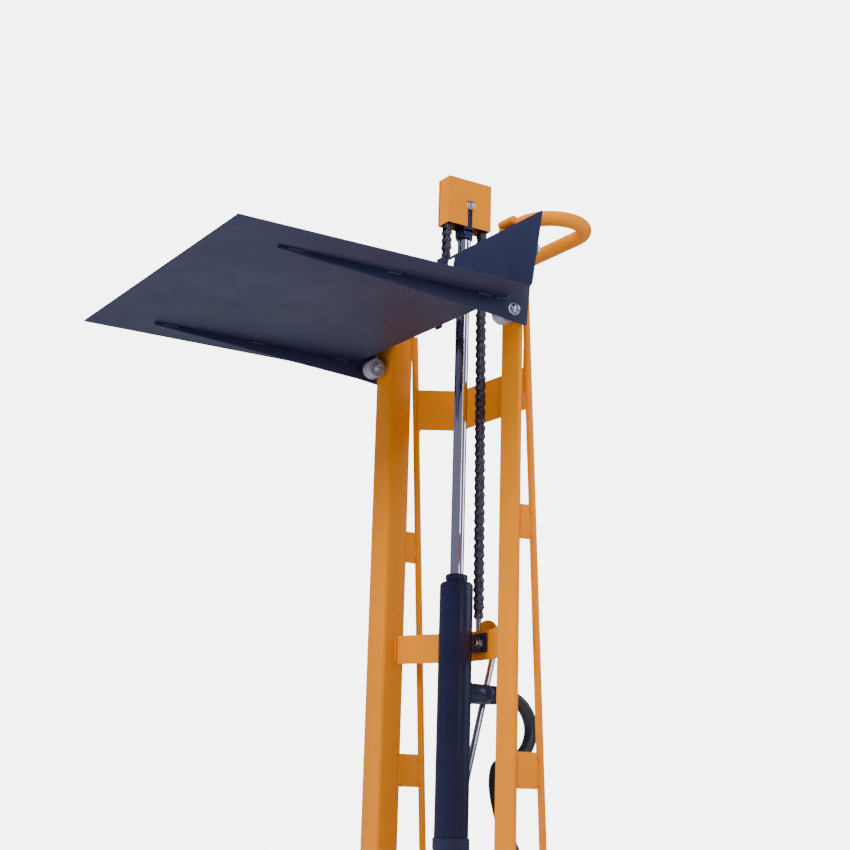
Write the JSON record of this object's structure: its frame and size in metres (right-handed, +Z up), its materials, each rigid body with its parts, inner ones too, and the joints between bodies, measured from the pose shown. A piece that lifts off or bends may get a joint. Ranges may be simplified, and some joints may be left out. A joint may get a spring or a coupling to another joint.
{
  "type": "pedal platform lift truck",
  "caption": "Hand-pushed mast lift truck with a hydraulic foot pump, chain and flat black load platform on an orange steel mast.",
  "frame": {"origin": "on the floor, below the centre of the overall box", "axes": "+Z up, -Y towards the load platform, +X to the right when seen from the load side"},
  "size_m": [0.65, 1.007, 1.661],
  "materials": {
    "orange_paint": "semi-gloss powder coat",
    "black_paint": "satin powder coat",
    "red_paint": "satin",
    "zinc_plate": "zinc plated",
    "chrome": "polished",
    "chain_steel": "oiled dark steel",
    "nylon": "turned nylon",
    "rubber": "matte"
  },
  "bodies": {
    "mast_frame": {"upright_left": "orange_paint", "upright_right": "orange_paint", "rear_truss_left": "orange_paint", "rear_truss_right": "orange_paint", "upper_strap": "orange_paint", "lower_strap": "orange_paint", "cylinder_bracket": "black_paint", "bracket_bolt": "zinc_plate", "rear_lug": "orange_paint", "tie_rod": "zinc_plate", "cylinder_clamp": "black_paint", "chain_stud": "zinc_plate", "push_handle": "orange_paint", "carriage_stop_left": "orange_paint", "carriage_stop_right": "orange_paint", "base_plate": "orange_paint", "cross_beam": "orange_paint", "leg_left": "orange_paint", "leg_right": "orange_paint", "front_axle_left": "zinc_plate", "front_axle_right": "zinc_plate", "rear_deck": "orange_paint", "lift_cylinder": "black_paint", "cylinder_gland": "black_paint", "hose_socket": "black_paint", "hydraulic_hose": "rubber", "oil_tank": "black_paint", "pump_block": "black_paint", "pedal_shaft": "zinc_plate", "chain_rear_run": "chain_steel"},
    "ram": {"ram_rod": "chrome", "ram_clevis": "black_paint", "pulley_pin": "zinc_plate", "chain_guard_left": "orange_paint", "chain_guard_right": "orange_paint", "chain_over_pulley": "chain_steel"},
    "pulley": {"chain_pulley": "chain_steel"},
    "carriage": {"platform": "black_paint", "side_plate_left": "black_paint", "side_plate_right": "black_paint", "carriage_bar": "black_paint", "lower_roller_bolt_left": "zinc_plate", "lower_roller_bolt_right": "zinc_plate", "upper_roller_bolt_left": "zinc_plate", "upper_roller_bolt_right": "zinc_plate", "chain_front_run": "chain_steel"},
    "lower_roller_left": {"lower_roller_left": "nylon"},
    "lower_roller_right": {"lower_roller_right": "nylon"},
    "upper_roller_left": {"upper_roller_left": "nylon"},
    "upper_roller_right": {"upper_roller_right": "nylon"},
    "front_wheel_left": {"front_wheel_left": "nylon"},
    "front_wheel_right": {"front_wheel_right": "nylon"},
    "caster_left": {"caster_fork_left": "zinc_plate"},
    "caster_wheel_left": {"caster_wheel_left": "rubber"},
    "caster_right": {"caster_fork_right": "zinc_plate"},
    "caster_wheel_right": {"caster_wheel_right": "rubber"},
    "foot_pedal": {"foot_pedal": "black_paint"},
    "plunger": {"pump_plunger": "chrome"},
    "release_pedal": {"release_pedal": "red_paint"}
  },
  "joints": [
    {"name": "ram_lift", "type": "slide", "parent": "mast_frame", "child": "ram", "axis": [0, 0, 1], "range_m": [-0.625, 0], "deforming": ["chain_rear_run"]},
    {"name": "pulley_turn", "type": "hinge", "parent": "ram", "child": "pulley", "pos_m": [0, 0.1147, 1.611], "axis": [1, 0, 0], "range_deg": [0, 920]},
    {"name": "carriage_lift", "type": "slide", "parent": "ram", "child": "carriage", "axis": [0, 0, 1], "range_m": [-0.625, 0], "deforming": ["chain_front_run"]},
    {"name": "lower_roller_left_spin", "type": "hinge", "parent": "carriage", "child": "lower_roller_left", "pos_m": [-0.221, 0.0545, 1.331], "axis": [1, 0, 0], "continuous": true},
    {"name": "lower_roller_right_spin", "type": "hinge", "parent": "carriage", "child": "lower_roller_right", "pos_m": [0.221, 0.0545, 1.331], "axis": [1, 0, 0], "continuous": true},
    {"name": "upper_roller_left_spin", "type": "hinge", "parent": "carriage", "child": "upper_roller_left", "pos_m": [-0.221, 0.0975, 1.452], "axis": [1, 0, 0], "continuous": true},
    {"name": "upper_roller_right_spin", "type": "hinge", "parent": "carriage", "child": "upper_roller_right", "pos_m": [0.221, 0.0975, 1.452], "axis": [1, 0, 0], "continuous": true},
    {"name": "front_wheel_left_spin", "type": "hinge", "parent": "mast_frame", "child": "front_wheel_left", "pos_m": [-0.293, -0.4415, 0.035], "axis": [1, 0, 0], "continuous": true},
    {"name": "front_wheel_right_spin", "type": "hinge", "parent": "mast_frame", "child": "front_wheel_right", "pos_m": [0.293, -0.4415, 0.035], "axis": [1, 0, 0], "continuous": true},
    {"name": "caster_left_swivel", "type": "hinge", "parent": "mast_frame", "child": "caster_left", "pos_m": [-0.225, 0.3435, 0.13], "axis": [0, 0, 1], "continuous": true},
    {"name": "caster_wheel_left_spin", "type": "hinge", "parent": "caster_left", "child": "caster_wheel_left", "pos_m": [-0.225, 0.3735, 0.05], "axis": [1, 0, 0], "continuous": true},
    {"name": "caster_right_swivel", "type": "hinge", "parent": "mast_frame", "child": "caster_right", "pos_m": [0.225, 0.3435, 0.13], "axis": [0, 0, 1], "continuous": true},
    {"name": "caster_wheel_right_spin", "type": "hinge", "parent": "caster_right", "child": "caster_wheel_right", "pos_m": [0.225, 0.3735, 0.05], "axis": [1, 0, 0], "continuous": true},
    {"name": "foot_pedal_press", "type": "hinge", "parent": "mast_frame", "child": "foot_pedal", "pos_m": [0.084, 0.219, 0.225], "axis": [1, 0, 0], "range_deg": [-10, 0], "stiffness_Nm_per_rad": 60},
    {"name": "plunger_stroke", "type": "slide", "parent": "mast_frame", "child": "plunger", "axis": [0, 0, 1], "range_m": [-0.015, 0]},
    {"name": "release_pedal_press", "type": "hinge", "parent": "mast_frame", "child": "release_pedal", "pos_m": [-0.1, 0.219, 0.225], "axis": [1, 0, 0], "range_deg": [-8, 0], "stiffness_Nm_per_rad": 30}
  ],
  "couplings": [
    {"joint": "carriage_lift", "follows": "ram_lift", "ratio": 1},
    {"joint": "pulley_turn", "follows": "ram_lift", "rad_per_m": -25.641},
    {"joint": "plunger_stroke", "follows": "foot_pedal_press", "m_per_rad": 0.0795}
  ]
}
